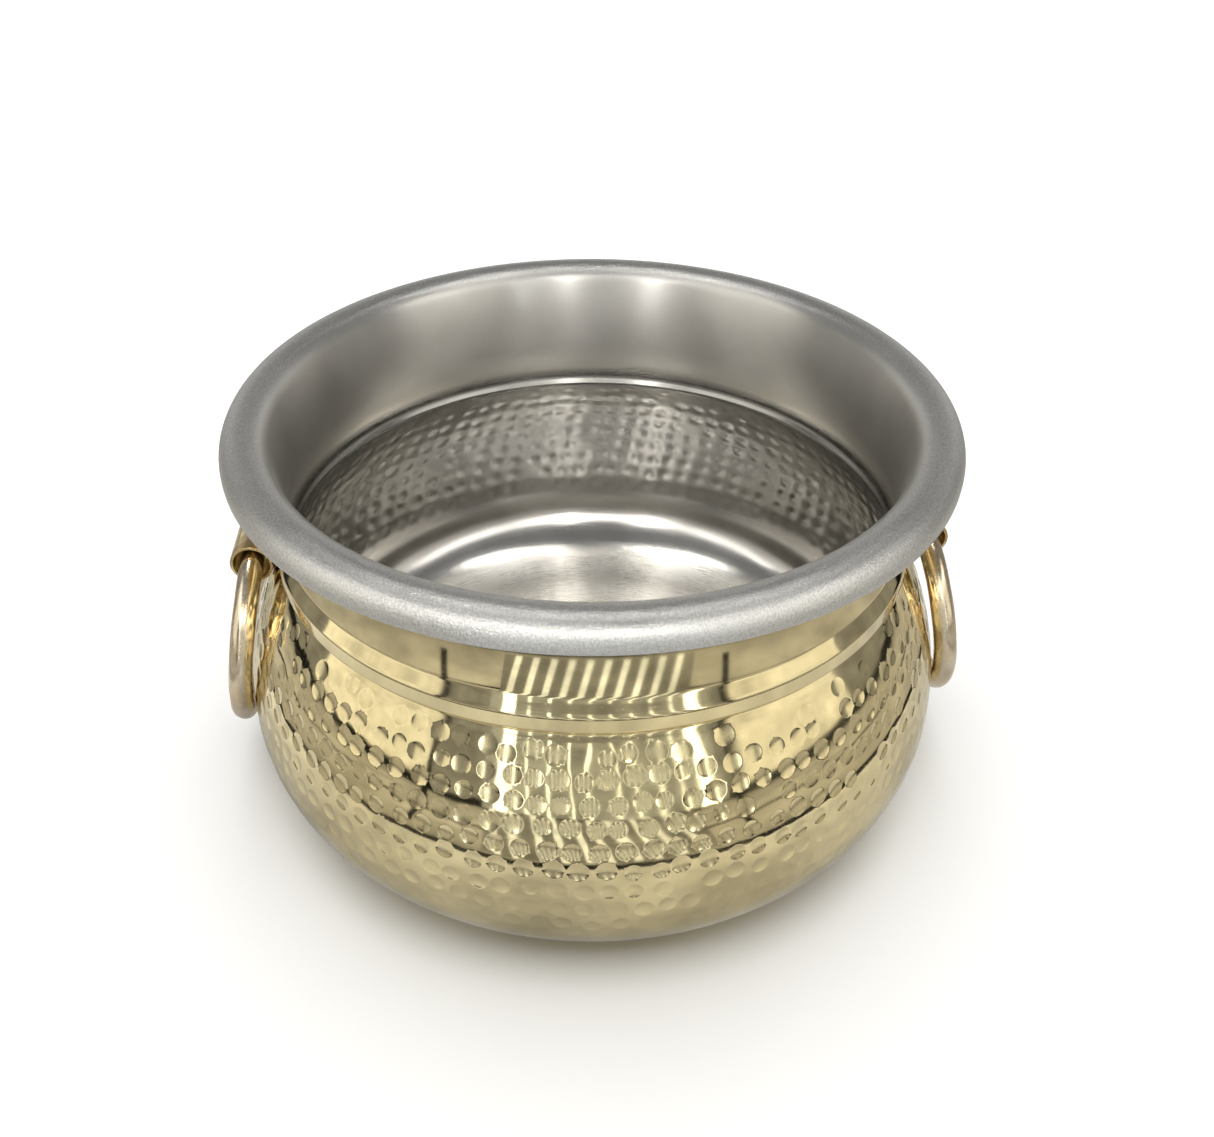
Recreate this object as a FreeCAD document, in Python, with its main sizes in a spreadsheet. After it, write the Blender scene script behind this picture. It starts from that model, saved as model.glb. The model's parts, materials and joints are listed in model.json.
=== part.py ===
import FreeCAD, Part
import Sketcher
import math
import os

# Brass urli bowl: a spun and hammered brass pot with a rolled lip, a swaged bead below the neck,
# a tinned inside, and two ring handles that swing in rolled tube lugs brazed to the shoulder.
# Frame: origin on the table at the centre of the base, +Z up, handles on the X axis. Millimetres.

DIMENSIONS = {
    # sheet
    "wall": 1.6,                  # brass sheet of the pot
    "tinning": 0.2,               # tin coat inside and over the lip
    # belly, measured on the inner face of the brass
    "knuckle_radius": 35.4,       # turn from the flat base into the wall
    "lower_radius": 43.4,         # lower half of the belly
    "upper_radius": 97.4,         # upper half of the belly
    "widest_radius": 133.0,
    "widest_height": 40.0,
    # swaged bead between belly and neck, inner face of the brass
    "belly_top": 100.0,
    "bead_radius": 115.3,
    "bead_low": 103.4,
    "bead_high": 108.4,
    "neck_low": 113.0,
    "neck_foot_radius": 112.1,
    # neck and rolled lip
    "neck_radius": 75.0,
    "lip_radius": 8.3,
    "lip_centre": 121.5,
    "lip_height": 146.5,
    "lip_edge": 145.0,
    # tube lugs
    "lug_distance": 127.0,        # tube axis from the pot's axis
    "lug_height": 95.7,
    "lug_outer": 7.75,
    "lug_inner": 6.55,
    "lug_length": 26.0,
    # brazing between lug and shoulder
    "braze_low": 88.6,
    "braze_high": 99.6,
    "braze_reach": 6.9,           # how far up the tube's side the filler climbs, from its axis
    "braze_turn": 9.0,            # degrees of the pot's round that the filler covers
    # ring handles
    "ring_radius": 36.0,          # centre line of the bent rod
    "rod_radius": 4.4,
    "ring_hang": 34.6,            # ring centre below the tube axis
    "ring_lean": 9.6,             # degrees off plumb, resting on the belly
}

doc = FreeCAD.newDocument("brass_urli_bowl")
sheet = doc.addObject("Spreadsheet::Sheet", "dims")
for row, (name, value) in enumerate(DIMENSIONS.items(), start=1):
    sheet.set("A%d" % row, name)
    sheet.set("B%d" % row, str(value))
    sheet.setAlias("B%d" % row, name)
doc.recompute()


def cell(name):
    return float(sheet.get(name))


def point(radius, height):
    return FreeCAD.Vector(radius, height, 0)


def polar(centre, radius, degrees):
    turn = math.radians(degrees)
    return centre + FreeCAD.Vector(radius * math.cos(turn), radius * math.sin(turn), 0)


def arc(centre, radius, start, end):
    """Arc that runs anticlockwise between two angles in degrees."""
    circle = Part.Circle(centre, FreeCAD.Vector(0, 0, 1), radius)
    return Part.ArcOfCircle(circle, math.radians(start), math.radians(end))


def angle_from(centre, target):
    return math.degrees(math.atan2(target.y - centre.y, target.x - centre.x))


def fix(sketch, constraint, name=None, formula=None):
    """Adds a constraint and ties it to the sheet if it is a size."""
    index = sketch.addConstraint(constraint)
    if name:
        sketch.renameConstraint(index, name)
        sketch.setExpression("Constraints." + name, formula)


def fix_point(sketch, curve, end, name, across=None, up=None):
    """Places one end of a curve by its distances from the sketch's origin."""
    if across:
        size = Sketcher.Constraint("DistanceX", -1, 1, curve, end, cell(across))
        fix(sketch, size, name + "_across", "dims." + across)
    if up:
        size = Sketcher.Constraint("DistanceY", -1, 1, curve, end, cell(up))
        fix(sketch, size, name + "_up", "dims." + up)


START, END, CENTRE = 1, 2, 3      # the points of a sketch's arc, and of a line for the first two


def pot_outline():
    """Half section of the face where brass and tin meet, from the middle of the floor to the lip."""
    wall = cell("wall")
    widest = point(cell("widest_radius"), cell("widest_height"))
    lower, upper, knuckle = cell("lower_radius"), cell("upper_radius"), cell("knuckle_radius")
    lower_centre = widest - point(lower, 0)
    upper_centre = widest - point(upper, 0)
    drop = widest.y - wall - knuckle
    turn = math.degrees(math.asin(drop / (lower - knuckle)))
    knuckle_centre = polar(lower_centre, lower - knuckle, -turn)
    belly_top = cell("belly_top")
    top_angle = math.degrees(math.asin((belly_top - widest.y) / upper))
    belly_end = polar(upper_centre, upper, top_angle)
    under = point(cell("bead_radius"), cell("bead_low"))
    over = point(cell("bead_radius"), cell("bead_high"))
    neck_foot = point(cell("neck_foot_radius"), cell("neck_low"))
    lip_centre = point(cell("lip_centre"), cell("lip_height"))
    neck, lip = cell("neck_radius"), cell("lip_radius")

    # the neck's arc runs through its foot and touches the lip's arc from outside the pot
    span = lip_centre - neck_foot
    along = (neck ** 2 - (neck - lip) ** 2 + span.Length ** 2) / (2 * span.Length)
    aside = math.sqrt(neck ** 2 - along ** 2)
    unit = FreeCAD.Vector(span).normalize()
    neck_centre = neck_foot + unit * along + FreeCAD.Vector(unit.y, -unit.x, 0) * aside
    join_angle = angle_from(neck_centre, lip_centre)
    foot_angle = angle_from(neck_centre, neck_foot) % 360
    edge_angle = math.degrees(math.asin((cell("lip_edge") - lip_centre.y) / lip))

    sketch = doc.addObject("Sketcher::SketchObject", "pot_outline")
    sketch.Placement = FreeCAD.Placement(FreeCAD.Vector(), FreeCAD.Rotation(FreeCAD.Vector(1, 0, 0), 90))
    floor, knuckle_arc, lower_arc, upper_arc, under_line, band, ledge, neck_arc, lip_arc = [
        sketch.addGeometry(curve, False) for curve in (
            Part.LineSegment(point(0, wall), point(knuckle_centre.x, wall)),
            arc(knuckle_centre, knuckle, -90, -turn),
            arc(lower_centre, lower, -turn, 0),
            arc(upper_centre, upper, 0, top_angle),
            Part.LineSegment(belly_end, under),
            Part.LineSegment(under, over),
            Part.LineSegment(over, neck_foot),
            arc(neck_centre, neck, join_angle, foot_angle),
            arc(lip_centre, lip, edge_angle, join_angle),
        )]

    fix(sketch, Sketcher.Constraint("PointOnObject", floor, START, -2))
    fix_point(sketch, floor, START, "floor", up="wall")
    fix(sketch, Sketcher.Constraint("Horizontal", floor))
    for first, second in ((floor, knuckle_arc), (knuckle_arc, lower_arc), (lower_arc, upper_arc)):
        fix(sketch, Sketcher.Constraint("Tangent", first, END, second, START))
    fix(sketch, Sketcher.Constraint("Horizontal", lower_arc, CENTRE, lower_arc, END))
    for curve, name in ((knuckle_arc, "knuckle_radius"), (lower_arc, "lower_radius"),
                        (upper_arc, "upper_radius"), (neck_arc, "neck_radius"),
                        (lip_arc, "lip_radius")):
        fix(sketch, Sketcher.Constraint("Radius", curve, cell(name)), name, "dims." + name)
    fix_point(sketch, lower_arc, END, "widest", across="widest_radius", up="widest_height")
    fix_point(sketch, upper_arc, END, "belly_top", up="belly_top")
    for first, second in ((upper_arc, under_line), (under_line, band), (band, ledge)):
        fix(sketch, Sketcher.Constraint("Coincident", first, END, second, START))
    fix_point(sketch, band, START, "bead", across="bead_radius", up="bead_low")
    fix(sketch, Sketcher.Constraint("Vertical", band))
    fix_point(sketch, band, END, "bead_top", up="bead_high")
    fix_point(sketch, ledge, END, "neck_foot", across="neck_foot_radius", up="neck_low")
    fix(sketch, Sketcher.Constraint("Coincident", ledge, END, neck_arc, END))
    fix(sketch, Sketcher.Constraint("Tangent", neck_arc, START, lip_arc, END))
    fix_point(sketch, lip_arc, CENTRE, "lip", across="lip_centre", up="lip_height")
    fix_point(sketch, lip_arc, START, "lip_edge", up="lip_edge")
    return sketch


def sheet_of_revolution(label, outline, thickness):
    """Offsets the outline to one side and turns the strip about the pot's axis."""
    strip = doc.addObject("Part::Offset2D", label + "_section")
    strip.Source = outline
    strip.setExpression("Value", thickness)
    strip.Mode = "Skin"
    strip.Join = "Intersection"
    strip.Fill = True
    turned = doc.addObject("Part::Revolution", label)
    turned.Label = label
    turned.Source = strip
    turned.Axis = FreeCAD.Vector(0, 0, 1)
    turned.Base = FreeCAD.Vector()
    turned.Angle = 360
    turned.Solid = True
    return turned


def side_placement(side):
    """The right-hand pieces stand on +X; the left-hand ones are the same turned half round."""
    half_round = FreeCAD.Rotation(FreeCAD.Vector(0, 0, 1), 0 if side > 0 else 180)
    return FreeCAD.Placement(FreeCAD.Vector(), half_round)


def new_body(label, side):
    body = doc.addObject("PartDesign::Body", label)
    body.Label = label
    body.Placement = side_placement(side)
    return body


def plane_sketch(body, name, role):
    sketch = body.newObject("Sketcher::SketchObject", name)
    plane = [item for item in body.Origin.OriginFeatures if item.Role == role][0]
    sketch.AttachmentSupport = [(plane, "")]
    sketch.MapMode = "FlatFace"
    return sketch


def tube_lug(label, side):
    """Short tube rolled from sheet, lying along Y beside the shoulder."""
    body = new_body(label, side)
    sketch = plane_sketch(body, label + "_ring", "XZ_Plane")
    axis = point(cell("lug_distance"), cell("lug_height"))
    for index, name in enumerate(("lug_outer", "lug_inner")):
        sketch.addGeometry(Part.Circle(axis, FreeCAD.Vector(0, 0, 1), cell(name)), False)
        fix_point(sketch, index, CENTRE, name + "_axis", across="lug_distance", up="lug_height")
        fix(sketch, Sketcher.Constraint("Radius", index, cell(name)), name, "dims." + name)
    tube = body.newObject("PartDesign::Pad", label + "_tube")
    tube.Profile = sketch
    tube.SideType = "Symmetric"
    tube.setExpression("Length", "dims.lug_length")
    body.Tip = tube
    return body


def brazing(label, side):
    """Filler metal in the crevice between the shoulder and the tube."""
    body = new_body(label, side)
    sketch = plane_sketch(body, label + "_section", "XZ_Plane")
    centre = point(cell("widest_radius") - cell("upper_radius"), cell("widest_height"))
    shoulder = cell("upper_radius") + cell("wall")
    low = math.degrees(math.asin((cell("braze_low") - centre.y) / shoulder))
    high = math.degrees(math.asin((cell("braze_high") - centre.y) / shoulder))
    inner_low, inner_high = polar(centre, shoulder, low), polar(centre, shoulder, high)
    outer_high = point(cell("lug_distance"), cell("lug_height") + cell("braze_reach"))
    outer_low = point(cell("lug_distance"), cell("lug_height") - cell("braze_reach"))
    face, top, back, bottom = [sketch.addGeometry(curve, False) for curve in (
        arc(centre, shoulder, low, high),
        Part.LineSegment(inner_high, outer_high),
        Part.LineSegment(outer_high, outer_low),
        Part.LineSegment(outer_low, inner_low),
    )]
    for first, second, end in ((face, top, START), (top, back, START), (back, bottom, START)):
        fix(sketch, Sketcher.Constraint("Coincident", first, END, second, end))
    fix(sketch, Sketcher.Constraint("Coincident", bottom, END, face, START))
    across = Sketcher.Constraint("DistanceX", -1, 1, face, CENTRE, centre.x)
    fix(sketch, across, "shoulder_across", "dims.widest_radius - dims.upper_radius")
    fix_point(sketch, face, CENTRE, "shoulder", up="widest_height")
    radius = Sketcher.Constraint("Radius", face, shoulder)
    fix(sketch, radius, "shoulder_radius", "dims.upper_radius + dims.wall")
    fix_point(sketch, face, START, "low", up="braze_low")
    fix_point(sketch, face, END, "high", up="braze_high")
    fix(sketch, Sketcher.Constraint("Vertical", back))
    fix_point(sketch, back, START, "tube_side", across="lug_distance")
    for end, sign, name in ((START, "+", "climb"), (END, "-", "drop")):
        height = outer_high.y if sign == "+" else outer_low.y
        size = Sketcher.Constraint("DistanceY", -1, 1, back, end, height)
        fix(sketch, size, name, "dims.lug_height %s dims.braze_reach" % sign)
    turned = body.newObject("PartDesign::Revolution", label + "_turn")
    turned.Profile = sketch
    turned.ReferenceAxis = (sketch, ["V_Axis"])
    turned.Midplane = True
    turned.setExpression("Angle", "dims.braze_turn")
    bore = body.newObject("PartDesign::SubtractiveCylinder", label + "_tube_seat")
    bore.setExpression("Radius", "dims.lug_outer")
    bore.setExpression("Height", "dims.lug_length * 2")
    bore.Placement.Rotation = FreeCAD.Rotation(FreeCAD.Vector(1, 0, 0), 90)
    bore.setExpression("Placement.Base.x", "dims.lug_distance")
    bore.setExpression("Placement.Base.y", "dims.lug_length")
    bore.setExpression("Placement.Base.z", "dims.lug_height")
    body.Tip = bore
    return body


def ring_handle(label, side):
    """Round rod bent into a ring, hanging through the lug and leaning on the belly."""
    ring = doc.addObject("Part::Torus", label)
    ring.Label = label
    ring.setExpression("Radius1", "dims.ring_radius")
    ring.setExpression("Radius2", "dims.rod_radius")
    ring.Placement.Rotation = FreeCAD.Rotation(FreeCAD.Vector(0, side, 0), 90 - cell("ring_lean"))
    ring.setExpression("Placement.Rotation.Angle", "90 - dims.ring_lean")
    reach = "dims.lug_distance + dims.ring_hang * sin(dims.ring_lean)"
    ring.setExpression("Placement.Base.x", reach if side > 0 else "-(%s)" % reach)
    ring.setExpression("Placement.Base.z", "dims.lug_height - dims.ring_hang * cos(dims.ring_lean)")
    return ring


outline = pot_outline()
doc.recompute()
pieces = [
    sheet_of_revolution("bowl_shell", outline, "-dims.wall"),
    sheet_of_revolution("tin_lining", outline, "dims.tinning"),
]
for side, hand in ((1, "right"), (-1, "left")):
    pieces.append(tube_lug(hand + "_lug", side))
    pieces.append(brazing(hand + "_braze", side))
    pieces.append(ring_handle(hand + "_ring", side))
doc.recompute()

for item in doc.Objects:
    if "Invalid" in item.State or "Error" in item.State:
        raise RuntimeError("%s did not rebuild: %s" % (item.Label, item.State))
for piece in pieces:
    shape = piece.Shape
    if shape.isNull() or not shape.isValid() or len(shape.Solids) != 1:
        raise RuntimeError("%s is not one good solid" % piece.Label)
    box = shape.optimalBoundingBox(False)
    print("%-12s volume %9.1f  x %.2f..%.2f  y %.2f..%.2f  z %.2f..%.2f" % (
        piece.Label, shape.Volume, box.XMin, box.XMax, box.YMin, box.YMax, box.ZMin, box.ZMax))

os.makedirs("parts", exist_ok=True)
for piece in pieces:
    piece.Shape.exportStep("parts/%s.step" % piece.Label)
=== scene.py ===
import json
import math

import bpy
import numpy as np
from mathutils import Matrix, Vector
from mathutils.geometry import delaunay_2d_cdt


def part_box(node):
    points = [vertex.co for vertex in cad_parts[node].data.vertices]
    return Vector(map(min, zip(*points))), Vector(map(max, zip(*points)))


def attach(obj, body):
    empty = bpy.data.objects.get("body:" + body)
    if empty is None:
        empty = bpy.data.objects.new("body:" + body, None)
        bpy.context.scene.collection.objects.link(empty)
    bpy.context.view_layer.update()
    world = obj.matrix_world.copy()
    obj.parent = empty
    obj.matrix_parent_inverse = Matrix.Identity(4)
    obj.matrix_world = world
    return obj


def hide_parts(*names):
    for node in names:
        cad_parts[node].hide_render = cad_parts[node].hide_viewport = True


# Brass urli bowl: hammered and polished outside, tinned inside, with a ring handle on each side.
# Metres, in the CAD frame: origin at the centre of the base, +Z up, handles on the X axis.

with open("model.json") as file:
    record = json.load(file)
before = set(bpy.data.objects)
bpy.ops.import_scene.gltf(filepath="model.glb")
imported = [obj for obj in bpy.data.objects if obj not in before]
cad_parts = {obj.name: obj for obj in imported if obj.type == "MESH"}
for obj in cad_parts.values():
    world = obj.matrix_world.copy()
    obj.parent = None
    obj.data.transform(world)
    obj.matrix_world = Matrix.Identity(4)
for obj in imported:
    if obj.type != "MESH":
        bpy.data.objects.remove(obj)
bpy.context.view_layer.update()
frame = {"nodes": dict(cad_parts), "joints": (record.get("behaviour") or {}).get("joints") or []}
rng = np.random.default_rng(7)
MM = 0.001
FULL_TURN = 2 * math.pi
FINE_STEP = 0.05 * MM             # between points of the exact section, which are thinned later

# ---------------------------------------------------------------- section of the pot
# The outline is the face where brass and tin meet. The shell lies outside it, the lining inside.
shell_low, shell_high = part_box("bowl_shell")
lining_low, lining_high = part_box("tin_lining")
WALL = lining_low.z - shell_low.z
TIN = lining_high.z - shell_high.z
WIDEST = shell_high.x - WALL
WIDEST_HEIGHT = 40.0 * MM
KNUCKLE, LOWER, UPPER = 35.4 * MM, 43.4 * MM, 97.4 * MM
BELLY_TOP = 100.0 * MM
BEAD, BEAD_LOW, BEAD_HIGH = 115.3 * MM, 103.4 * MM, 108.4 * MM
NECK_FOOT = np.array([112.1, 113.0]) * MM
NECK_BEND = 75.0 * MM
LIP_BEND = 8.3 * MM
LIP_CENTRE = np.array([121.5 * MM, shell_high.z - LIP_BEND])
LIP_EDGE_DROP = 1.5 * MM

LOWER_CENTRE = np.array([WIDEST - LOWER, WIDEST_HEIGHT])
UPPER_CENTRE = np.array([WIDEST - UPPER, WIDEST_HEIGHT])
KNUCKLE_TURN = math.asin((WIDEST_HEIGHT - WALL - KNUCKLE) / (LOWER - KNUCKLE))
KNUCKLE_AIM = np.array([math.cos(KNUCKLE_TURN), -math.sin(KNUCKLE_TURN)])
KNUCKLE_CENTRE = LOWER_CENTRE + (LOWER - KNUCKLE) * KNUCKLE_AIM
TOP_TURN = math.asin((BELLY_TOP - WIDEST_HEIGHT) / UPPER)

# hammered zone, as lengths along the outer face above (+) or below (-) the widest point
HAMMERED_TOP = 62.6 * MM
HAMMERED_BOTTOM = -12.0 * MM


def arc(centre, radius, start, end):
    """Points of an arc between two angles in radians."""
    turns = np.linspace(start, end, max(3, int(abs(end - start) * radius / FINE_STEP)))
    return centre + radius * np.stack([np.cos(turns), np.sin(turns)], 1)


def line(start, end):
    """Points of a straight line."""
    start, end = np.asarray(start, float), np.asarray(end, float)
    shares = np.linspace(0, 1, max(3, int(np.linalg.norm(end - start) / FINE_STEP)))
    return start + shares[:, None] * (end - start)


def neck_centre():
    """Centre of the neck's arc, which runs through its foot and touches the lip's arc."""
    span = LIP_CENTRE - NECK_FOOT
    length = np.linalg.norm(span)
    along = (NECK_BEND ** 2 - (NECK_BEND - LIP_BEND) ** 2 + length ** 2) / (2 * length)
    aside = math.sqrt(NECK_BEND ** 2 - along ** 2)
    unit = span / length
    return NECK_FOOT + unit * along + np.array([unit[1], -unit[0]]) * aside


def offset_corner(corner, before, after, distance):
    """Where two faces meet after both move out by a distance, given their outward normals."""
    return corner + distance * (before + after) / (1 + before @ after)


def outward(start, end):
    """Outward normal of the straight face from start to end."""
    along = (end - start) / np.linalg.norm(end - start)
    return np.array([along[1], -along[0]])


def belly_point(run, offset):
    """Point of the belly at a length along the shell's outer face from the widest point."""
    run = np.asarray(run, float)
    upper = run / (UPPER + WALL)
    lower = run / (LOWER + WALL)
    across = np.where(run > 0, UPPER_CENTRE[0] + (UPPER + offset) * np.cos(upper),
                      LOWER_CENTRE[0] + (LOWER + offset) * np.cos(lower))
    rise = np.where(run > 0, (UPPER + offset) * np.sin(upper), (LOWER + offset) * np.sin(lower))
    return across, WIDEST_HEIGHT + rise


def belly_normals(run):
    """Outward normals of the plain belly at the same lengths."""
    turn = np.where(run > 0, run / (UPPER + WALL), run / (LOWER + WALL))
    return np.stack([np.cos(turn), np.sin(turn)], 1)


def lower_section(offset):
    """From the middle of the base to the bottom of the hammered zone."""
    base = WALL - offset
    return np.concatenate([
        line((0, base), (KNUCKLE_CENTRE[0], base)),
        arc(KNUCKLE_CENTRE, KNUCKLE + offset, -math.pi / 2, -KNUCKLE_TURN),
        arc(LOWER_CENTRE, LOWER + offset, -KNUCKLE_TURN, HAMMERED_BOTTOM / (LOWER + WALL)),
    ])


def hammered_section(offset):
    """The plain belly in the hammered zone, without its marks."""
    return np.stack(belly_point(np.arange(HAMMERED_BOTTOM, HAMMERED_TOP, FINE_STEP), offset), 1)


def upper_section(offset):
    """From the top of the hammered zone over the bead and up the neck to the lip's edge."""
    belly_end = UPPER_CENTRE + UPPER * np.array([math.cos(TOP_TURN), math.sin(TOP_TURN)])
    under, over = np.array([BEAD, BEAD_LOW]), np.array([BEAD, BEAD_HIGH])
    centre = neck_centre()
    faces = [
        np.array([math.cos(TOP_TURN), math.sin(TOP_TURN)]),
        outward(belly_end, under), outward(under, over), outward(over, NECK_FOOT),
        (centre - NECK_FOOT) / NECK_BEND,
    ]
    corners = [offset_corner(corner, faces[k], faces[k + 1], offset)
               for k, corner in enumerate((belly_end, under, over, NECK_FOOT))]
    foot = math.atan2(*(corners[3] - centre)[::-1]) % FULL_TURN
    join = math.atan2(*(LIP_CENTRE - centre)[::-1])
    edge = -math.asin(LIP_EDGE_DROP / LIP_BEND)
    return np.concatenate([
        arc(UPPER_CENTRE, UPPER + offset, HAMMERED_TOP / (UPPER + WALL),
            math.atan2(*(corners[0] - UPPER_CENTRE)[::-1])),
        line(corners[0], corners[1]), line(corners[1], corners[2]), line(corners[2], corners[3]),
        arc(centre, NECK_BEND - offset, foot, join),
        arc(LIP_CENTRE, LIP_BEND - offset, join, edge),
    ])


def rounded(points, radius):
    """The same outline with even steps and its corners rounded off."""
    gaps = np.linalg.norm(np.diff(points, axis=0), axis=1)
    points = points[np.concatenate([[True], gaps > 1e-9])]
    run = np.concatenate([[0], np.cumsum(np.linalg.norm(np.diff(points, axis=0), axis=1))])
    step = 0.04 * MM
    places = np.linspace(0, run[-1], int(run[-1] / step))
    even = np.stack([np.interp(places, run, points[:, k]) for k in (0, 1)], 1)
    width = max(1, int(radius / step))
    kernel = np.exp(-np.linspace(-2, 2, 4 * width + 1) ** 2)
    kernel /= kernel.sum()
    ends = 2 * width
    before, after = 2 * even[0] - even[ends:0:-1], 2 * even[-1] - even[-2:-ends - 2:-1]
    padded = np.concatenate([before, even, after])
    return np.stack([np.convolve(padded[:, k], kernel, "valid") for k in (0, 1)], 1)


def thinned(points, longest, bend):
    """Fewer points, with their normals: each step is at most longest, or turns by at most bend radians."""
    along = np.diff(points, axis=0)
    lengths = np.linalg.norm(along, axis=1)
    heading = np.unwrap(np.arctan2(along[:, 1], along[:, 0]))
    turn = np.convolve(np.abs(np.gradient(heading)), np.full(21, 1 / 21), "same")
    cost = np.concatenate([[0], np.cumsum(lengths / longest + turn / bend)])
    steps = np.linspace(0, cost[-1], math.ceil(cost[-1]) + 1)
    keep = np.unique(np.searchsorted(cost, steps - 1e-9).clip(0, len(points) - 1))
    normals = np.gradient(points, axis=0)
    normals = np.stack([normals[:, 1], -normals[:, 0]], 1)
    normals /= np.linalg.norm(normals, axis=1)[:, None]
    return points[keep], normals[keep]


# ---------------------------------------------------------------- hammer marks
MARK_PITCH = 8.1 * MM             # between rows, and about the same along a row
MARK_RADIUS = 3.3 * MM
MARK_DEPTH = 0.36 * MM
MARKS_PER_ROW = 98
ROW_REACH = 9.0 * MM              # no mark reaches farther than this from its row's middle
TOP_ROW = 58.3 * MM               # length above the widest point
ROW_STRENGTH = (0.55, 1.0, 1.0, 1.0, 1.0, 1.0, 1.0, 0.95, 0.65)     # top row first
LINING_SHARE = 0.95               # how much of a mark's depth shows inside
CUP = 0.92                        # share of a mark's radius that is a plain round hollow
RIM = CUP + (1 - CUP ** 2) / CUP  # where its rounded rim meets the belly
FILL_PLACES = 16000               # loose vertices tried between the marks
SEAM = 0.1                        # radians by which the flat chart of the belly laps over itself


def hammer_marks():
    """Rows of marks: angle about the pot, length along the belly, radius and depth of each."""
    rows = []
    for number, strength in enumerate(ROW_STRENGTH):
        turns = np.arange(MARKS_PER_ROW) + 0.5 * (number % 2) + rng.uniform(-0.13, 0.13, MARKS_PER_ROW)
        turns = turns * FULL_TURN / MARKS_PER_ROW + 0.3 * number
        runs = TOP_ROW - number * MARK_PITCH + rng.normal(0, 0.45 * MM, MARKS_PER_ROW)
        if number == 0:
            runs += rng.normal(0, 0.9 * MM, MARKS_PER_ROW)
        radii = MARK_RADIUS * rng.uniform(0.88, 1.08, MARKS_PER_ROW)
        depths = MARK_DEPTH * strength * rng.uniform(0.75, 1.15, MARKS_PER_ROW)
        kept = rng.random(MARKS_PER_ROW) < (0.62 if number == 0 else 0.97)
        rows.append(np.stack([turns % FULL_TURN, runs, radii, depths], 1)[kept])
    return rows


MARKS = hammer_marks()


def mark_distances(turns, runs, row):
    """Distance from each place to each mark of a row."""
    radius = belly_point(row[:, 1], WALL)[0]
    aside = (turns[:, None] - row[:, 0] + math.pi) % FULL_TURN - math.pi
    return np.hypot(aside * radius, runs[:, None] - row[:, 1])


def pressed(turns, runs, shape):
    """Deepest mark at each place: shape turns distances over radius into a share of the depth."""
    depth = np.zeros(len(turns))
    for row in MARKS:
        near = np.abs(runs - row[:, 1].mean()) < ROW_REACH
        distances = mark_distances(turns[near], runs[near], row) / row[:, 2]
        depth[near] = np.maximum(depth[near], (shape(distances) * row[:, 3]).max(1))
    return depth


def cup_shape(share):
    """A round hollow with a rounded rim."""
    rim = np.clip(RIM - share, 0, None) / (RIM - CUP)
    return np.where(share < CUP, 1 - share ** 2, (1 - CUP ** 2) * rim ** 2)


def bump_shape(share):
    """The soft bump that a mark leaves on the other side of the sheet."""
    return np.exp(-1.6 * share ** 2)


def waviness(turns, runs):
    """Slow unevenness of hand-worked sheet, from 0 inward, fading at the hammered zone's edges."""
    total = np.zeros(len(turns))
    for around, along, phase in ((7, 60, 0.3), (19, 95, 1.9), (34, 40, 4.1), (51, 130, 2.2), (12, 170, 5.0)):
        total += np.sin(around * turns + along * runs + phase)
    edge = 8 * MM
    fade = np.clip((HAMMERED_TOP - runs) / edge, 0, 1) * np.clip((runs - HAMMERED_BOTTOM) / edge, 0, 1)
    return 0.018 * MM * (total + 5) * fade


def turned_point(turns, across, up):
    """Points at angles about the pot, distances from its axis and heights."""
    return np.stack([across * np.cos(turns), across * np.sin(turns), up], 1)


def face_with_normals(surface, turns, runs):
    """Points and outward normals of a surface given by angle about the pot and length along it."""
    small_turn, small_run = 0.0004, 0.05 * MM       # radians and metres, for the slopes
    points = surface(turns, runs)
    around = surface(turns + small_turn, runs) - surface(turns - small_turn, runs)
    along = surface(turns, runs + small_run) - surface(turns, runs - small_run)
    normals = np.cross(around, along)
    return points, normals / np.linalg.norm(normals, axis=1)[:, None]


def hammered_face(turns, runs):
    """The shell's outer face in the hammered zone."""
    depth = pressed(turns, runs, cup_shape) + waviness(turns, runs)
    across, up = belly_point(runs, WALL - depth)
    return turned_point(turns, across, up)


def lining_face(turns, runs):
    """The lining's face in the same zone, where each mark shows as a soft bump."""
    depth = LINING_SHARE * pressed(turns, runs, bump_shape) + waviness(turns, runs)
    across, up = belly_point(runs, -TIN - depth)
    return turned_point(turns, across, up)


# ---------------------------------------------------------------- mesh building
def new_piece(name, points, faces, smooth=True):
    """An object with a new mesh, in the scene."""
    mesh = bpy.data.meshes.new(name)
    mesh.from_pydata(points, [], faces)
    mesh.update()
    mesh.polygons.foreach_set("use_smooth", [smooth] * len(mesh.polygons))
    piece = bpy.data.objects.new(name, mesh)
    bpy.context.scene.collection.objects.link(piece)
    return piece


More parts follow.
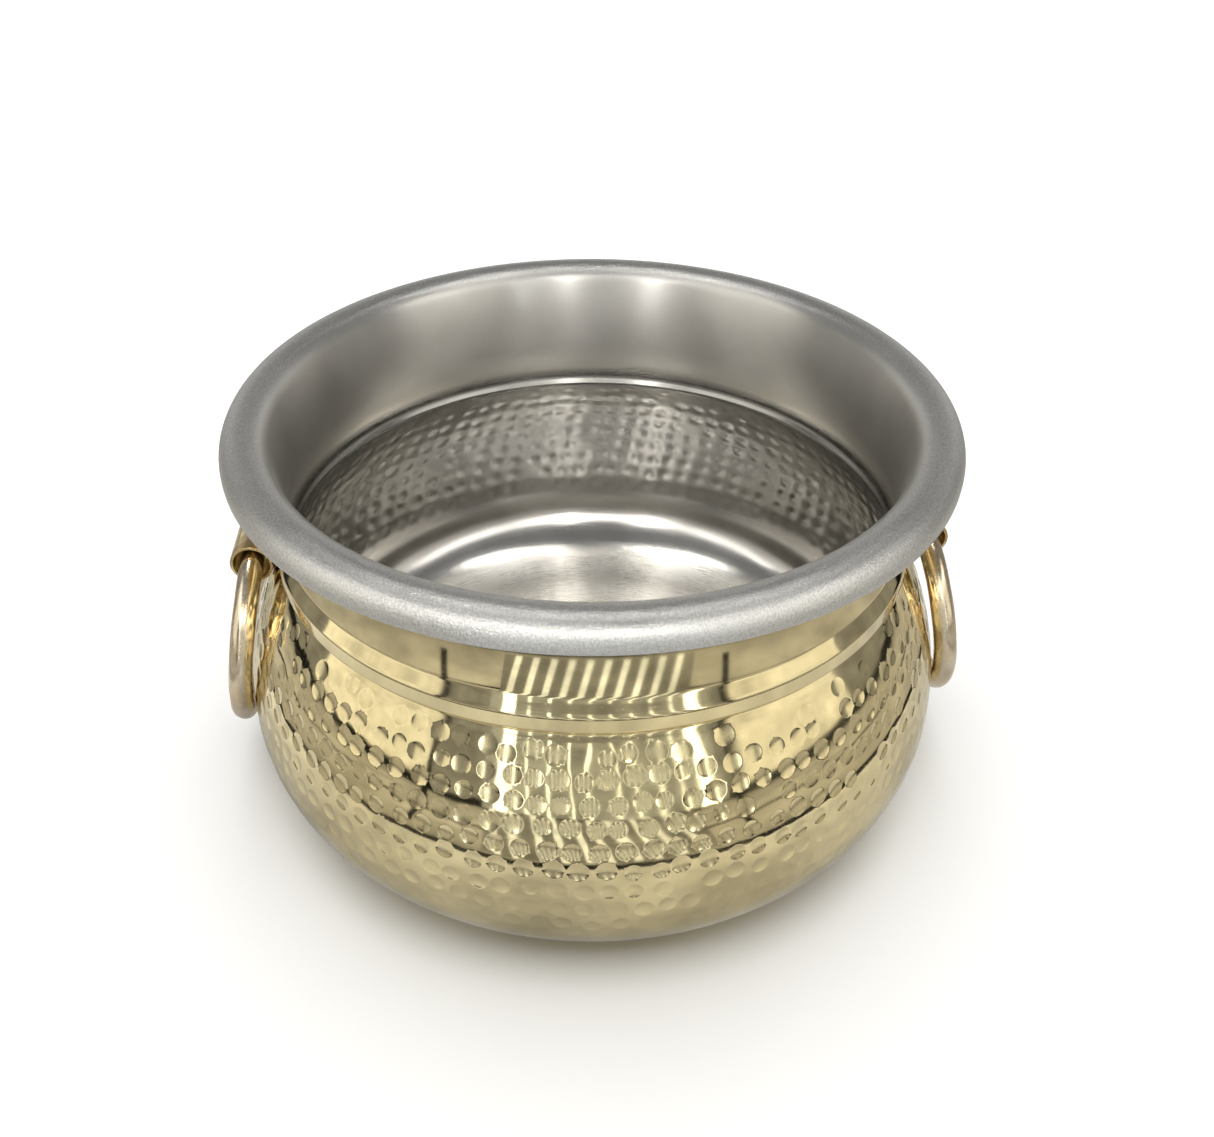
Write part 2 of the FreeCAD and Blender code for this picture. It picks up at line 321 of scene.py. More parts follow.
class Shape:
    """Vertices with their normals and how deep a mark is there, and faces, gathered into one mesh."""

    def __init__(self):
        self.points, self.normals, self.depths, self.faces = [], [], [], []

    def add(self, points, normals, depths=None):
        start = len(self.points)
        self.points += [tuple(p) for p in points]
        self.normals += [tuple(n) for n in normals]
        self.depths += [0.0] * len(points) if depths is None else depths.tolist()
        return np.arange(start, len(self.points))

    def ring(self, point, normal, count):
        """Vertices round the pot from one point of the section: distance from the axis, and height."""
        turns = np.arange(count) * FULL_TURN / count
        return self.add(turned_point(turns, np.full(count, point[0]), np.full(count, point[1])),
                        turned_point(turns, np.full(count, normal[0]), np.full(count, normal[1])))

    def pole(self, height, up):
        """The vertex on the pot's axis, with its normal up (1) or down (-1)."""
        return self.add([(0, 0, height)], [(0, 0, up)])

    def bridge(self, lower, upper):
        """Faces between two rings of vertices, or between a ring and a pole."""
        count = max(len(lower), len(upper))
        for k in range(count):
            following = (k + 1) % count
            if len(lower) == 1:
                self.faces.append((lower[0], upper[following], upper[k]))
            elif len(upper) == 1:
                self.faces.append((lower[k], lower[following], upper[0]))
            else:
                self.faces.append((lower[k], lower[following], upper[following], upper[k]))

    def rows(self, rings):
        """Faces between each ring of a list and the one after it."""
        for lower, upper in zip(rings, rings[1:]):
            self.bridge(lower, upper)

    def build(self, name):
        piece = new_piece(name, self.points, [tuple(int(i) for i in face) for face in self.faces])
        mesh = piece.data
        mesh.normals_split_custom_set_from_vertices(self.normals)
        mesh.attributes.new("mark_depth", "FLOAT", "POINT").data.foreach_set("value", self.depths)
        return piece


def mark_places():
    """Places for vertices in the hammered zone: rings round each mark, then a loose fill between."""
    places = []
    flat = np.concatenate(MARKS)
    for turn, run, radius, _ in flat:
        across = belly_point(run, WALL)[0]
        places.append((turn, run))
        for share, count in ((0.36, 7), (0.7, 11), (CUP, 15), (RIM, 15)):
            angles = np.arange(count) * FULL_TURN / count + share
            reach = share * radius
            places += zip(turn + reach * np.cos(angles) / across, run + reach * np.sin(angles))
    places = np.array(places)
    places[:, 0] %= FULL_TURN
    clear = np.ones(len(places), bool)
    owner = np.repeat(np.arange(len(flat)), len(places) // len(flat))
    for number, (turn, run, radius, _) in enumerate(flat):
        near = np.abs(places[:, 1] - run) < radius * 1.3
        aside = (places[near, 0] - turn + math.pi) % FULL_TURN - math.pi
        share = np.hypot(aside * belly_point(run, WALL)[0], places[near, 1] - run) / radius
        clear[np.flatnonzero(near)[(share < 0.97) & (owner[near] != number)]] = False
    places = places[clear]
    lowest, highest = HAMMERED_BOTTOM + 1.2 * MM, HAMMERED_TOP - 1.2 * MM
    fill = rng.uniform((0, lowest), (FULL_TURN, highest), (FILL_PLACES, 2))
    inside = pressed(fill[:, 0], fill[:, 1], lambda share: (share < RIM + 0.18).astype(float)) > 0
    return np.concatenate([places, fill[~inside]])


def spaced(places, gap):
    """Drops places outside the zone, and those nearer than gap to one already kept."""
    kept, cells = [], {}
    for turn, run in places:
        if not HAMMERED_BOTTOM + 0.8 * MM < run < HAMMERED_TOP - 0.8 * MM:
            continue
        spot = (turn * WIDEST, run)
        cell = (int(spot[0] // gap), int(spot[1] // gap))
        around = (cells.get((cell[0] + i, cell[1] + j)) for i in (-1, 0, 1) for j in (-1, 0, 1))
        if all(other is None or math.dist(other, spot) > gap for other in around):
            cells[cell] = spot
            kept.append((turn, run))
    return np.array(kept)


def hammered_zone(shape, bottom, top):
    """Triangulates the hammered zone between the rings of vertices at its two edges."""
    places = spaced(mark_places(), 0.42 * MM)
    points, normals = face_with_normals(hammered_face, places[:, 0], places[:, 1])
    depths = pressed(places[:, 0], places[:, 1], cup_shape) / MARK_DEPTH
    inner = shape.add(points, normals, depths)
    turns = np.arange(len(bottom)) * FULL_TURN / len(bottom)
    edges = [np.stack([turns, np.full(len(turns), run)], 1) for run in (HAMMERED_BOTTOM, HAMMERED_TOP)]
    places = np.concatenate([places, *edges])
    numbers = np.concatenate([inner, bottom, top])
    early, late = places[:, 0] < SEAM, places[:, 0] > FULL_TURN - SEAM
    chart = np.concatenate([places, places[early] + (FULL_TURN, 0), places[late] - (FULL_TURN, 0)])
    numbers = np.concatenate([numbers, numbers[early], numbers[late]])
    flat = [Vector((turn * WIDEST / MM, run / MM)) for turn, run in chart]
    corners, _, faces, sources, _, _ = delaunay_2d_cdt(flat, [], [], 0, 1e-7)
    around = FULL_TURN * WIDEST / MM
    for face in faces:
        middle = sum(corners[i].x for i in face) / len(face)
        if 0 <= middle < around:
            shape.faces.append([numbers[sources[i][0]] for i in face])


def back_face():
    """Coarse outline of the shell's face under the tin, from the lip to the middle of the base."""
    sections = (lower_section, hammered_section, upper_section)
    path = np.concatenate([section(WALL / 3) for section in sections])
    points, normals = thinned(rounded(path, 0.2 * MM), 14 * MM, 0.2)
    return points[::-1], normals[::-1]


def pot_shell():
    """The brass pot, with every hammer mark, as one closed shell."""
    count = 300
    shape = Shape()
    low, low_normals = thinned(rounded(lower_section(WALL), 0.2 * MM), 6 * MM, 0.09)
    high, high_normals = thinned(rounded(upper_section(WALL), 0.4 * MM), 2.2 * MM, 0.16)
    bottom = [shape.pole(low[0][1], -1)]
    bottom += [shape.ring(p, n, count) for p, n in zip(low[1:], low_normals[1:])]
    top = [shape.ring(p, n, count) for p, n in zip(high, high_normals)]
    shape.rows(bottom)
    hammered_zone(shape, bottom[-1], top[0])
    back, back_normals = back_face()
    inside = [shape.ring(p, -n, count) for p, n in zip(back[:-1], back_normals[:-1])]
    inside.append(shape.pole(back[-1][1], 1))
    shape.rows(top + inside)
    return shape.build("hammered_shell")


def pot_lining():
    """The tin coat, with soft bumps behind the hammer marks, as one closed skin."""
    count = 5 * MARKS_PER_ROW
    shape = Shape()
    turns = np.arange(count) * FULL_TURN / count
    low, low_normals = thinned(rounded(lower_section(-TIN), 0.2 * MM), 6 * MM, 0.09)
    # the tin fills the groove behind the bead, so there the outline follows a softer one
    crisp, soft = (rounded(upper_section(-TIN), radius) for radius in (1.0 * MM, 6.0 * MM))
    filled = 0.9 * np.exp(-((crisp[:, 1] - BEAD_HIGH) / (8 * MM)) ** 4)[:, None]
    high, high_normals = thinned(crisp * (1 - filled) + soft * filled, 2.6 * MM, 0.15)
    rings = [shape.pole(low[0][1], 1)]
    rings += [shape.ring(p, -n, count) for p, n in zip(low[1:], low_normals[1:])]
    for run in np.arange(HAMMERED_BOTTOM + 1.3 * MM, HAMMERED_TOP, 1.35 * MM):
        points, normals = face_with_normals(lining_face, turns, np.full(count, run))
        rings.append(shape.add(points, -normals))
    rings += [shape.ring(p, -n, count) for p, n in zip(high, high_normals)]
    # the hidden side is the visible one without its bumps, moved out by the coat's thickness
    belly = np.arange(-8, 60, 4) * MM
    front = np.concatenate([low, np.stack(belly_point(belly, -TIN), 1), high])
    front_normals = np.concatenate([low_normals, belly_normals(belly), high_normals])
    behind, behind_normals = (front + TIN * front_normals)[::-2], front_normals[::-2]
    rings += [shape.ring(p, n, count) for p, n in zip(behind[:-1], behind_normals[:-1])]
    rings.append(shape.pole(behind[-1][1], -1))
    shape.rows(rings[::-1])
    return shape.build("tin_skin")


# ---------------------------------------------------------------- handles, lugs and brazing


def ring_sizes(node):
    """Ring radius, rod radius, centre and lean of a ring handle, from its box and its joint."""
    low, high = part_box(node)
    pivot = Vector(next(j["pos_m"] for j in frame["joints"] if j["child"] == node))
    centre = (low + high) / 2
    lean = math.atan2(centre.x - pivot.x, pivot.z - centre.z)
    across, along = (high.x - low.x) / 2, (high.y - low.y) / 2
    radius = (along - across) / (1 - abs(math.sin(lean)))
    return radius, along - radius, centre, lean


def ring_handle(node):
    """Rod bent to a ring, a little uneven, with a faint groove where its two ends meet."""
    radius, rod, centre, lean = ring_sizes(node)
    steps, sides = 240, 32
    turns = np.arange(steps) * FULL_TURN / steps
    around = np.arange(sides) * FULL_TURN / sides
    turn, side = [a.ravel() for a in np.meshgrid(turns, around, indexing="ij")]
    joint = 0.62                      # angle from the ring's top to where the ends meet
    gap = np.abs((turn - joint + math.pi) % FULL_TURN - math.pi) * radius
    thin = 0.05 * MM * (2 + np.sin(5 * turn + side) + np.sin(11 * turn - 2 * side + 1))
    thin += 0.4 * MM * np.exp(-(gap / (0.45 * MM)) ** 2)
    rod_radius = rod - thin
    reach = radius + rod_radius * np.cos(side)
    local = np.stack([rod_radius * np.sin(side), reach * np.sin(turn), reach * np.cos(turn)], 1)
    points = local @ np.array(Matrix.Rotation(-lean, 3, "Y").transposed()) + np.array(centre)
    index = np.arange(steps * sides).reshape(steps, sides)
    onward = np.roll(index, -1, 0)
    faces = np.stack([index, onward, np.roll(onward, -1, 1), np.roll(index, -1, 1)], -1).reshape(-1, 4)
    return new_piece(node + "_rod", points.tolist(), faces.tolist())


LUG_SHEET = 1.2 * MM


def lug_tube(node, body_side):
    """Tube rolled from a strip: worn round edges, slightly uneven ends, and a seam facing the pot."""
    low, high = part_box(node)
    centre = (low + high) / 2
    outer = (high.z - low.z) / 2
    inner = outer - LUG_SHEET
    half = (high.y - low.y) / 2
    worn = 0.3 * MM
    quarter = np.linspace(0, math.pi / 2, 5)
    corner = [(half - worn + worn * math.sin(a), -worn + worn * math.cos(a)) for a in quarter]
    between = np.linspace(-0.9, 0.9, 9) * (half - worn)
    outside = [(-x, outer + y) for x, y in corner[::-1]] + [(x, outer) for x in between]
    outside += [(x, outer + y) for x, y in corner]
    inside = [(x, inner - y) for x, y in corner[::-1]] + [(x, inner) for x in between[::-1]]
    inside += [(-x, inner - y) for x, y in corner]
    path = outside + inside
    sides = 96
    angles = np.arange(sides) * FULL_TURN / sides
    points = []
    for angle in angles:
        # angle 0 faces the pot: the strip's two ends meet there in a shallow groove
        away = min(angle, FULL_TURN - angle) * outer
        groove = 0.45 * MM * math.exp(-(away / (0.5 * MM)) ** 2)
        uneven = 1 - 0.012 * (1 + math.sin(3 * angle + 1)) / 2
        for along, reach in path:
            out = reach - (groove if reach > (inner + outer) / 2 else 0)
            points.append((centre.x - body_side * out * math.cos(angle), along * uneven,
                           centre.z + out * math.sin(angle)))
    rows = len(path)
    faces = []
    for k in range(sides):
        for m in range(rows):
            a, b = k * rows + m, k * rows + (m + 1) % rows
            c, d = (k + 1) % sides * rows + (m + 1) % rows, (k + 1) % sides * rows + m
            faces.append((a, b, c, d) if body_side < 0 else (d, c, b, a))
    return new_piece(node + "_tube", points, faces)


def braze_lump(node):
    """The filler metal, run and lumpy, inside the CAD wedge."""
    source = frame["nodes"][node]
    piece = bpy.data.objects.new(node + "_filler", source.data.copy())
    bpy.context.scene.collection.objects.link(piece)
    piece.data.materials.clear()
    remesh = piece.modifiers.new("even", "REMESH")
    remesh.mode = "VOXEL"
    remesh.voxel_size = 0.35 * MM
    smooth = piece.modifiers.new("melted", "SMOOTH")
    smooth.factor = 0.5
    smooth.iterations = 6
    evaluated = piece.evaluated_get(bpy.context.evaluated_depsgraph_get())
    mesh = bpy.data.meshes.new_from_object(evaluated)
    piece.modifiers.clear()
    piece.data = mesh
    for vertex in mesh.vertices:
        place = vertex.co * 900
        lump = math.sin(place.x + 2 * math.sin(place.y)) + math.sin(1.7 * place.z + place.y)
        vertex.co -= vertex.normal * 0.05 * MM * (2 + lump)
    mesh.polygons.foreach_set("use_smooth", [True] * len(mesh.polygons))
    return piece


# ---------------------------------------------------------------- materials


def new_material(name, color, roughness):
    """A metal, with its node tree and its shader."""
    material = bpy.data.materials.new(name)
    material.use_nodes = True
    tree = material.node_tree
    shader = tree.nodes["Principled BSDF"]
    shader.inputs["Base Color"].default_value = (*color, 1)
    shader.inputs["Metallic"].default_value = 1
    shader.inputs["Roughness"].default_value = roughness
    return material, tree, shader


def add_node(tree, kind, **settings):
    """A node with its settings; inputs holds a value or a socket to link for each named input."""
    node = tree.nodes.new(kind)
    inputs = settings.pop("inputs", {})
    for name, value in settings.items():
        setattr(node, name, value)
    for name, value in inputs.items():
        if isinstance(value, bpy.types.NodeSocket):
            tree.links.new(value, node.inputs[name])
        else:
            node.inputs[name].default_value = value
    return node


def calculate(tree, operation, first, second=0.0):
    return add_node(tree, "ShaderNodeMath", operation=operation, inputs={0: first, 1: second}).outputs[0]


def sum_of(tree, *values):
    total = values[0]
    for value in values[1:]:
        total = calculate(tree, "ADD", total, value)
    return total


def product(tree, first, second):
    return calculate(tree, "MULTIPLY", first, second)


def noise(tree, vector, scale, detail=2.0, roughness=0.5):
    node = add_node(tree, "ShaderNodeTexNoise",
                    inputs={"Vector": vector, "Scale": scale, "Detail": detail, "Roughness": roughness})
    return node.outputs["Fac"]


def remap(tree, value, low, high, out_low=0, out_high=1):
    node = add_node(tree, "ShaderNodeMapRange", inputs={
        "Value": value, "From Min": low, "From Max": high, "To Min": out_low, "To Max": out_high})
    return node.outputs[0]


def blend_colors(tree, share, first, second):
    node = add_node(tree, "ShaderNodeMix", data_type="RGBA")
    tree.links.new(share, node.inputs["Factor"])
    for name, value in (("A", first), ("B", second)):
        socket = [s for s in node.inputs if s.name == name and s.type == "RGBA"][0]
        if isinstance(value, bpy.types.NodeSocket):
            tree.links.new(value, socket)
        else:
            socket.default_value = (*value, 1)
    return [s for s in node.outputs if s.type == "RGBA"][0]


def bump(tree, height, strength, distance, normal=None):
    inputs = {"Height": height, "Strength": strength, "Distance": distance}
    if normal is not None:
        inputs["Normal"] = normal
    return add_node(tree, "ShaderNodeBump", inputs=inputs).outputs[0]


def pot_coordinates(tree):
    """Position, distance from the pot's axis, height, and a place that is drawn out round the pot."""
    position = add_node(tree, "ShaderNodeTexCoord").outputs["Object"]
    split = add_node(tree, "ShaderNodeSeparateXYZ", inputs={"Vector": position})
    x, y, z = split.outputs
    across = calculate(tree, "SQRT", sum_of(tree, product(tree, x, x), product(tree, y, y)))
    angle = calculate(tree, "ARCTAN2", y, x)
    short_way = product(tree, angle, 0.004)
    drawn = add_node(tree, "ShaderNodeCombineXYZ", inputs={"X": across, "Y": short_way, "Z": z})
    return position, across, z, drawn.outputs[0]


def hammered_brass():
    """Polished brass, faintly cloudy and streaked round the pot, and duller inside the marks."""
    material, tree, shader = new_material("hammered_brass", (0.81, 0.69, 0.41), 0.07)
    position, _, height, drawn = pot_coordinates(tree)
    cloudy = noise(tree, position, 22, 4)
    streaks = noise(tree, drawn, 900, 3, 0.7)
    depth = add_node(tree, "ShaderNodeAttribute", attribute_name="mark_depth").outputs["Fac"]
    dull = product(tree, depth, remap(tree, height, 0.032, 0.045, 0.1, 1))
    rough = sum_of(tree, remap(tree, cloudy, 0.35, 0.7, 0.045, 0.11),
                   remap(tree, streaks, 0.55, 0.8, 0, 0.05), remap(tree, dull, 0.1, 0.5, 0, 0.11))
    tree.links.new(rough, shader.inputs["Roughness"])
    tint = blend_colors(tree, remap(tree, noise(tree, position, 9, 3), 0.4, 0.75, 0, 0.6),
                        (0.81, 0.70, 0.42), (0.79, 0.65, 0.34))
    tree.links.new(tint, shader.inputs["Base Color"])
    fine = bump(tree, streaks, 0.10, 0.00003)
    pits = remap(tree, noise(tree, position, 1400, 2), 0.72, 0.8, 0, -1)
    tree.links.new(bump(tree, pits, 0.2, 0.00003, fine), shader.inputs["Normal"])
    return material


def zone(tree, value, start, full, fade, gone):
    """1 between full and fade, falling to 0 at start and at gone."""
    return product(tree, remap(tree, value, start, full), remap(tree, value, fade, gone, 1, 0))


def sandy_zones(tree, across, height):
    """Where the lip's tin is rough from wear: over its crest and round its outer edge."""
    lip_across, lip_height = LIP_CENTRE
    crest = product(tree, remap(tree, height, lip_height, lip_height + 6 * MM),
                    remap(tree, across, lip_across - 8 * MM, lip_across - 4 * MM))
    roll = product(tree, remap(tree, across, lip_across + 0.5 * MM, lip_across + 5 * MM),
                   remap(tree, height, lip_height - 6.5 * MM, lip_height - 3.5 * MM))
    return calculate(tree, "MAXIMUM", crest, roll)


def tin_tint_with_painted_light(tree, position, height, sandy):
    """Patchy tin, speckled on the lip, with a painted highlight that makes the foot of the neck pale and
    painted shade that makes the groove below it dark.
    """
    plain = blend_colors(tree, remap(tree, noise(tree, position, 45, 5), 0.35, 0.7),
                         (0.80, 0.78, 0.74), (0.73, 0.71, 0.67))
    speckle = noise(tree, position, 1500, 2, 0.6)
    worn = blend_colors(tree, remap(tree, speckle, 0.35, 0.65), (0.55, 0.55, 0.54), (0.80, 0.79, 0.76))
    tint = blend_colors(tree, product(tree, sandy, 0.85), plain, worn)
    # painted highlight: a pale warm band at the foot of the neck, lighter as if lit there
    foot = zone(tree, height, 0.103, 0.107, 0.108, 0.120)
    tint = blend_colors(tree, foot, tint, (0.97, 0.94, 0.86))
    # painted shade: the groove behind the bead darkened almost to black, where shade falls in the recess
    groove = zone(tree, height, 0.0975, 0.099, 0.1035, 0.107)
    return blend_colors(tree, product(tree, groove, 0.8), tint, (0.20, 0.195, 0.18))


def tin():
    """Wiped tin: brushed round the neck and the base, and sandy over the lip."""
    material, tree, shader = new_material("wiped_tin", (0.70, 0.69, 0.66), 0.2)
    shader.inputs["Anisotropic Rotation"].default_value = 0.25
    position, across, height, drawn = pot_coordinates(tree)
    tangent = add_node(tree, "ShaderNodeTangent", direction_type="RADIAL", axis="Z")
    tree.links.new(tangent.outputs[0], shader.inputs["Tangent"])
    sandy = sandy_zones(tree, across, height)
    brushed = noise(tree, drawn, 1500, 3, 0.7)
    neck = remap(tree, height, 0.098, 0.110)
    base = remap(tree, height, 0.004, 0.009, 1, 0)
    turned = product(tree, calculate(tree, "MAXIMUM", neck, base), remap(tree, sandy, 0, 1, 1, 0))
    tree.links.new(remap(tree, turned, 0, 1, 0.1, 0.92), shader.inputs["Anisotropic"])
    rough = sum_of(tree, remap(tree, turned, 0, 1, 0.17, 0.26), product(tree, neck, 0.08),
                   remap(tree, noise(tree, position, 30, 4), 0.3, 0.7, -0.03, 0.04),
                   remap(tree, brushed, 0.3, 0.7, -0.02, 0.04), product(tree, sandy, 0.12))
    tree.links.new(rough, shader.inputs["Roughness"])
    tree.links.new(tin_tint_with_painted_light(tree, position, height, sandy), shader.inputs["Base Color"])
    lines = bump(tree, brushed, 0.10, 0.00004)
    grain = product(tree, noise(tree, position, 1300, 3, 0.6), remap(tree, sandy, 0, 1, 0.03, 1))
    tree.links.new(bump(tree, grain, 0.9, 0.00022, lines), shader.inputs["Normal"])
    return material


def ring_brass():
    """Rod brass, browned in patches by the heat of the brazing, with small dings."""
    material, tree, shader = new_material("ring_brass", (0.84, 0.71, 0.50), 0.14)
    position = add_node(tree, "ShaderNodeTexCoord").outputs["Object"]
    heat = remap(tree, noise(tree, position, 60, 4, 0.6), 0.4, 0.68)
    tint = blend_colors(tree, heat, (0.80, 0.71, 0.55), (0.68, 0.53, 0.34))
    tree.links.new(tint, shader.inputs["Base Color"])
    rough = remap(tree, noise(tree, position, 220, 4), 0.3, 0.7, 0.17, 0.33)
    tree.links.new(rough, shader.inputs["Roughness"])
    dings = noise(tree, position, 420, 3, 0.6)
    tree.links.new(bump(tree, dings, 0.25, 0.00012), shader.inputs["Normal"])
    return material


def lug_brass():
    """Sheet brass with brown stains."""
    material, tree, shader = new_material("lug_brass", (0.78, 0.64, 0.36), 0.18)
    position = add_node(tree, "ShaderNodeTexCoord").outputs["Object"]
    stain = remap(tree, noise(tree, position, 130, 4, 0.6), 0.4, 0.65)
    tint = blend_colors(tree, stain, (0.80, 0.67, 0.38), (0.55, 0.38, 0.18))
    tree.links.new(tint, shader.inputs["Base Color"])
    tree.links.new(remap(tree, stain, 0, 1, 0.12, 0.35), shader.inputs["Roughness"])
    tree.links.new(bump(tree, noise(tree, position, 500, 3), 0.2, 0.0001), shader.inputs["Normal"])
    return material


def braze_metal():
    """Filler metal, burnt dark in places."""
    material, tree, shader = new_material("braze_metal", (0.40, 0.27, 0.13), 0.45)
    position = add_node(tree, "ShaderNodeTexCoord").outputs["Object"]
    burnt = remap(tree, noise(tree, position, 260, 4, 0.6), 0.4, 0.62)
    tint = blend_colors(tree, burnt, (0.50, 0.36, 0.16), (0.10, 0.07, 0.05))
    tree.links.new(tint, shader.inputs["Base Color"])
    tree.links.new(remap(tree, burnt, 0, 1, 0.3, 0.6), shader.inputs["Roughness"])
    tree.links.new(bump(tree, noise(tree, position, 900, 4), 0.4, 0.0002), shader.inputs["Normal"])
    return material


def paint(piece, material):
    piece.data.materials.clear()
    piece.data.materials.append(material)


# ---------------------------------------------------------------- the object
def fit(piece, node, body, material):
    """Puts a visual piece in a CAD node's stead, on its body."""
    paint(piece, material)
    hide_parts(node)
    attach(piece, body)
    paint(frame["nodes"][node], material)


fit(pot_shell(), "bowl_shell", "bowl", hammered_brass())
fit(pot_lining(), "tin_lining", "bowl", tin())
rod_material, tube_material, filler_material = ring_brass(), lug_brass(), braze_metal()
for hand, side in (("right", 1), ("left", -1)):
    fit(ring_handle(hand + "_ring"), hand + "_ring", hand + "_ring", rod_material)
    fit(lug_tube(hand + "_lug", side), hand + "_lug", "bowl", tube_material)
    fit(braze_lump(hand + "_braze"), hand + "_braze", "bowl", filler_material)


# ---------------------------------------------------------------- camera
LIP_RADIUS = LIP_CENTRE[0] + LIP_BEND + TIN
VIEW_TURN = math.radians(3.8)     # the left handle is a little nearer than the right one
PITCH, YAW, ROLL = math.radians(36.57), math.radians(0.8), math.radians(0.57)
LENS, SENSOR = 36.18, 36          # mm
CAMERA_BACK = 2.952 * LIP_RADIUS
CAMERA_HEIGHT = LIP_CENTRE[1] + 1.667 * LIP_RADIUS


def add_camera():
    camera = bpy.data.objects.new("camera", bpy.data.cameras.new("camera"))
    bpy.context.scene.collection.objects.link(camera)
    camera.data.sensor_width = SENSOR
    camera.data.lens = LENS
    camera.data.clip_start = 0.01
    level = math.cos(PITCH)
    forward = Vector((math.sin(YAW) * level, math.cos(YAW) * level, -math.sin(PITCH)))
    right = Vector((math.cos(YAW), -math.sin(YAW), 0))
    turned = Matrix((right, right.cross(forward), -forward)).transposed() @ Matrix.Rotation(ROLL, 3, "Z")
    aimed = Matrix.Translation((0, -CAMERA_BACK, CAMERA_HEIGHT)) @ turned.to_4x4()
    camera.matrix_world = Matrix.Rotation(-VIEW_TURN, 4, "Z") @ aimed
    bpy.context.scene.camera = camera


# ---------------------------------------------------------------- studio
def plain_material(name, color, glowing=False):
    """A matt surface, or a black one that glows in the given colour."""
    material, tree, shader = new_material(name, (0, 0, 0) if glowing else color, 1)
    shader.inputs["Metallic"].default_value = 0
    shader.inputs["Specular IOR Level"].default_value = 0
    shader.inputs["Emission Color"].default_value = (*color, 1)
    return material, tree, shader


def stage_mesh(name, points, faces, material):
    """A piece of the studio, which isn't part of the object."""
    piece = new_piece(name, points, faces, smooth=False)
    piece.data.materials.append(material)
    return piece


def only_in_reflections(piece):
    piece.visible_camera = False
    piece.visible_diffuse = False
    piece.visible_shadow = False
    piece.visible_transmission = False


def bearing(degrees, distance, height):
    """A place at an angle round the pot from the side that faces the camera, positive to the right."""
    turn = math.radians(degrees - 90) - VIEW_TURN
    return Vector((distance * math.cos(turn), distance * math.sin(turn), height))


def add_floor():
    material, tree, shader = plain_material("pale_floor", (0.86, 0.86, 0.85))
    position = add_node(tree, "ShaderNodeTexCoord").outputs["Object"]
    shade = blend_colors(tree, noise(tree, position, 3, 3), (0.88, 0.88, 0.87), (0.84, 0.84, 0.83))
    tree.links.new(shade, shader.inputs["Base Color"])
    half = 4.0
    stage_mesh("floor", [(-half, -half, 0), (half, -half, 0), (half, half, 0), (-half, half, 0)],
               [(0, 1, 2, 3)], material)


def add_card(name, first, last, inner, outer, low, high, glow, color=(1, 1, 1), lean=0.0, outer_glow=None):
    """A curved card round the pot between two bearings, from one distance and height to another. It shows
    in reflections only. Its outer edge is turned by lean degrees, and may glow differently."""
    steps = max(4, int((last - first) / 6))
    turns = np.linspace(first, last, steps + 1)
    points = [bearing(t, inner, low) for t in turns] + [bearing(t + lean, outer, high) for t in turns]
    faces = [(k, k + 1, steps + 2 + k, steps + 1 + k) for k in range(steps)]
    material, tree, shader = plain_material(name, color, glowing=True)
    spot = add_node(tree, "ShaderNodeTexCoord").outputs["Object"]
    distance = add_node(tree, "ShaderNodeVectorMath", operation="LENGTH", inputs={0: spot}).outputs["Value"]
    strength = remap(tree, distance, inner, outer, glow, glow if outer_glow is None else outer_glow)
    uneven = remap(tree, noise(tree, spot, 11, 5, 0.6), 0.3, 0.7, 0.62, 1.34)
    tree.links.new(product(tree, strength, uneven), shader.inputs["Emission Strength"])
    card = stage_mesh(name, points, faces, material)
    only_in_reflections(card)
    return card


def add_overhead_light():
    """A big soft light straight above. It lights the floor and the pot but doesn't show in the metal."""
    data = bpy.data.lights.new("overhead", "AREA")
    data.shape = "SQUARE"
    data.size = 3.2
    data.energy = 95
    light = bpy.data.objects.new("overhead", data)
    bpy.context.scene.collection.objects.link(light)
    light.location = (0, 0.3, 2.0)
    light.visible_camera = False
    light.visible_glossy = False


def set_world():
    world = bpy.data.worlds.new("studio")
    bpy.context.scene.world = world
    world.use_nodes = True
    world.node_tree.nodes["Background"].inputs["Color"].default_value = (0.97, 0.98, 1.0, 1)
    world.node_tree.nodes["Background"].inputs["Strength"].default_value = 0.17
    bpy.context.scene.view_settings.view_transform = "Standard"


def add_lamps():
    """A small bright lamp high on each side."""
    for name, middle in (("left_lamp", -100), ("right_lamp", 98)):
        add_card(name, middle - 3.5, middle + 3.5, 0.10, 0.30, 0.92, 0.82, 36.0, (1, 0.98, 0.94))


def add_backdrop():
    """The one card that shows to the camera, as a pale wall behind the floor, and not in the metal."""
    backdrop = add_card("backdrop", -180, 180, 1.25, 1.25, -0.1, 3.0, 1.7)
    backdrop.visible_camera = True
    backdrop.visible_glossy = False


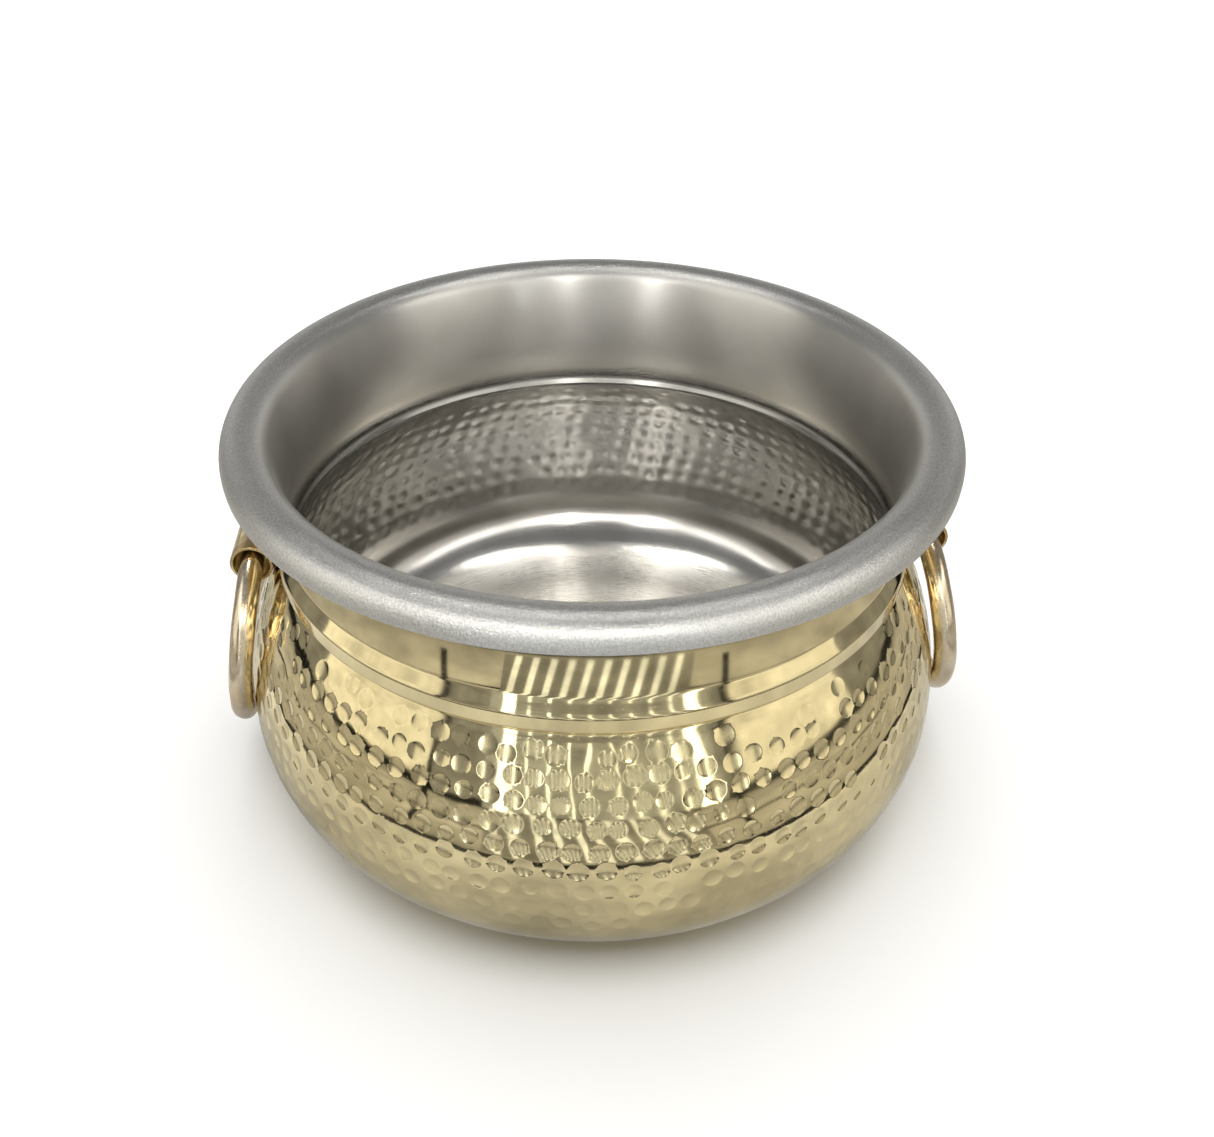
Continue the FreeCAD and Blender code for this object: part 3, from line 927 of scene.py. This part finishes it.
def add_surroundings():
    """What the metal sees all round: paper, its edge, a darker sheet with a joint, and the room."""
    add_card("paper", -180, 180, 0.08, 0.235, 0.001, 0.002, 0.20, (1, 0.98, 0.93), outer_glow=0.82)
    add_card("paper_edge", -180, 180, 0.235, 0.250, 0.003, 0.003, 0.01)
    add_card("near_sheet", -180, 180, 0.250, 0.375, 0.002, 0.003, 0.42, (1, 0.96, 0.88), outer_glow=0.66)
    add_card("sheet_joint", -180, 180, 0.375, 0.395, 0.003, 0.003, 0.01)
    add_card("far_sheet", -180, 180, 0.395, 0.80, 0.002, 0.003, 0.62, (1, 0.96, 0.88), outer_glow=0.36)
    add_card("skirting", -180, 180, 0.78, 0.78, 0.002, 0.045, 0.01)
    add_card("room", -180, 180, 1.0, 1.1, 0.0, 0.75, 0.28, (1, 0.98, 0.95))
    add_card("back_wall", 125, 235, 0.9, 0.95, 0.04, 0.50, 0.60, (1, 0.99, 0.96))


def add_slats():
    """A tray in front of the pot with slats across it."""
    add_card("tray", -24, 28, 0.255, 0.62, 0.0035, 0.02, 0.26, (1, 0.97, 0.9), -3)
    half = 0.9
    for k, middle in enumerate(np.linspace(-20, 24, 10)):
        first, last = middle - half, middle + half
        add_card("slat_%d" % k, first, last, 0.255, 0.62, 0.004, 0.03, 1.3, (0.97, 1, 1), -5.5)


def add_front_panel():
    """Behind the tray, a grey panel with thin tubes, wide at both ends, and a softbox over it."""
    add_card("panel", -29, 36, 0.70, 0.72, 0.02, 0.40, 0.42, (0.98, 1, 0.97), -1.5)
    tubes = np.linspace(-23, 30, 10)
    for k, middle in enumerate(tubes):
        half, glow = (1.9, 3.0) if k in (0, len(tubes) - 1) else (0.5, 2.0)
        first, last = middle - half, middle + half
        add_card("tube_%d" % k, first, last, 0.62, 0.64, 0.03, 0.36, glow, (0.98, 1, 0.99), -1.5)
    add_card("front_softbox", -85, 85, 0.74, 0.62, 0.45, 0.62, 2.3, (1, 0.98, 0.94))
    for name, middle in (("left_window", -24), ("right_window", 11)):
        add_card(name, middle - 3, middle + 3, 0.60, 0.55, 0.37, 0.62, 9.0, (1, 0.99, 0.96))


def add_side_softboxes():
    """A softbox on each side of the panel, and the dark stands between them, with their feet."""
    for name, first, last in (("left_softbox", -88, -46), ("right_softbox", 41, 78)):
        add_card(name, first, last, 0.77, 0.80, 0.055, 0.45, 1.05, (1, 0.96, 0.86))
    for name, middle in (("left_stand", -42), ("right_stand", 37)):
        add_card(name, middle - 0.9, middle + 0.9, 0.40, 0.60, 0.005, 0.6, 0.01)
        add_card(name + "_foot", middle - 1.0, middle + 1.0, 0.27, 0.44, 0.004, 0.004, 0.01)


add_camera()
set_world()
add_floor()
add_overhead_light()
add_lamps()
add_backdrop()
add_surroundings()
add_slats()
add_front_panel()
add_side_softboxes()
